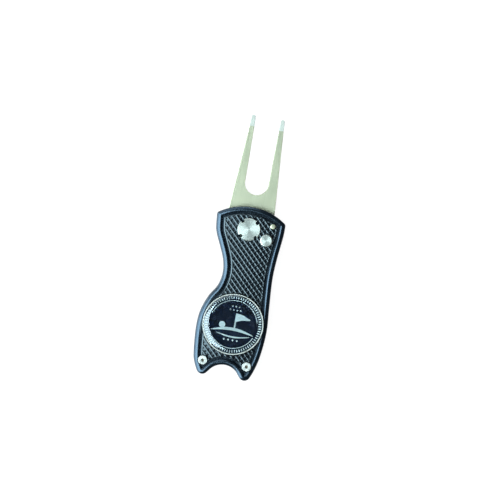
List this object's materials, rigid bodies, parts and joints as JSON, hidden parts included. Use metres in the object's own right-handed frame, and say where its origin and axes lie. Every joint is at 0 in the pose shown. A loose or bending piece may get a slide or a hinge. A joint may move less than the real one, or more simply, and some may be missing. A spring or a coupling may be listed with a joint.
{
  "type": "divot repair tool",
  "caption": "Folding golf divot repair tool: sprung two-pronged steel fork, contoured black handle, release button and magnetic ball marker.",
  "frame": {"origin": "bottom centre of the whole tool's box with the fork open, on the plane that the back cover rests on", "axes": "+Y along the tool towards the tips of the open fork, +Z out of the front that holds the ball marker, +X to the right seen from the front"},
  "size_m": [0.0286, 0.1076, 0.0116],
  "materials": {
    "cover_black": "satin black moulding",
    "grip_black": "knurled satin black",
    "fork_steel": "satin steel with a pale warm tint",
    "turned_metal": "spin-brushed face",
    "spring_steel": "drawn wire and strip",
    "nickel": "nickel plate",
    "marker_print": "dark navy print",
    "marker_resin": "clear domed resin",
    "brass": "plain brass"
  },
  "bodies": {
    "handle": {"back_cover": "cover_black", "front_cover": "cover_black", "spine_spacer": "cover_black", "front_grip_panel": "grip_black", "back_grip_panel": "grip_black", "pivot_axle": "nickel", "pivot_cap": "turned_metal", "pivot_nut": "turned_metal", "back_washer": "brass", "front_washer": "brass", "torsion_spring": "spring_steel", "stop_pin": "fork_steel", "latch_spring": "spring_steel", "latch_rivet": "brass", "magnet": "nickel", "screw_left": "nickel", "screw_right": "nickel", "insert_left": "brass", "insert_right": "brass"},
    "fork": {"fork_blade": "fork_steel"},
    "button": {"release_button": "turned_metal"},
    "marker": {"marker_coin": "nickel", "marker_face": "marker_print", "marker_dome": "marker_resin"}
  },
  "joints": [
    {"name": "fork_fold", "type": "hinge", "parent": "handle", "child": "fork", "pos_m": [-0.00027, 0.00741, 0.0052], "axis": [0, 0, 1], "range_deg": [0, 186], "stiffness_Nm_per_rad": 0.0127, "springref_deg": -89.95, "deforming": ["torsion_spring"]},
    {"name": "button_press", "type": "slide", "parent": "handle", "child": "button", "axis": [0, 0, -1], "range_m": [0, 0.0011], "stiffness_N_per_m": 1200, "springref_m": -0.001, "deforming": ["latch_spring"]},
    {"name": "marker_lift", "type": "slide", "parent": "handle", "child": "marker", "axis": [0, 0, 1], "range_m": [0, 0.02]}
  ]
}
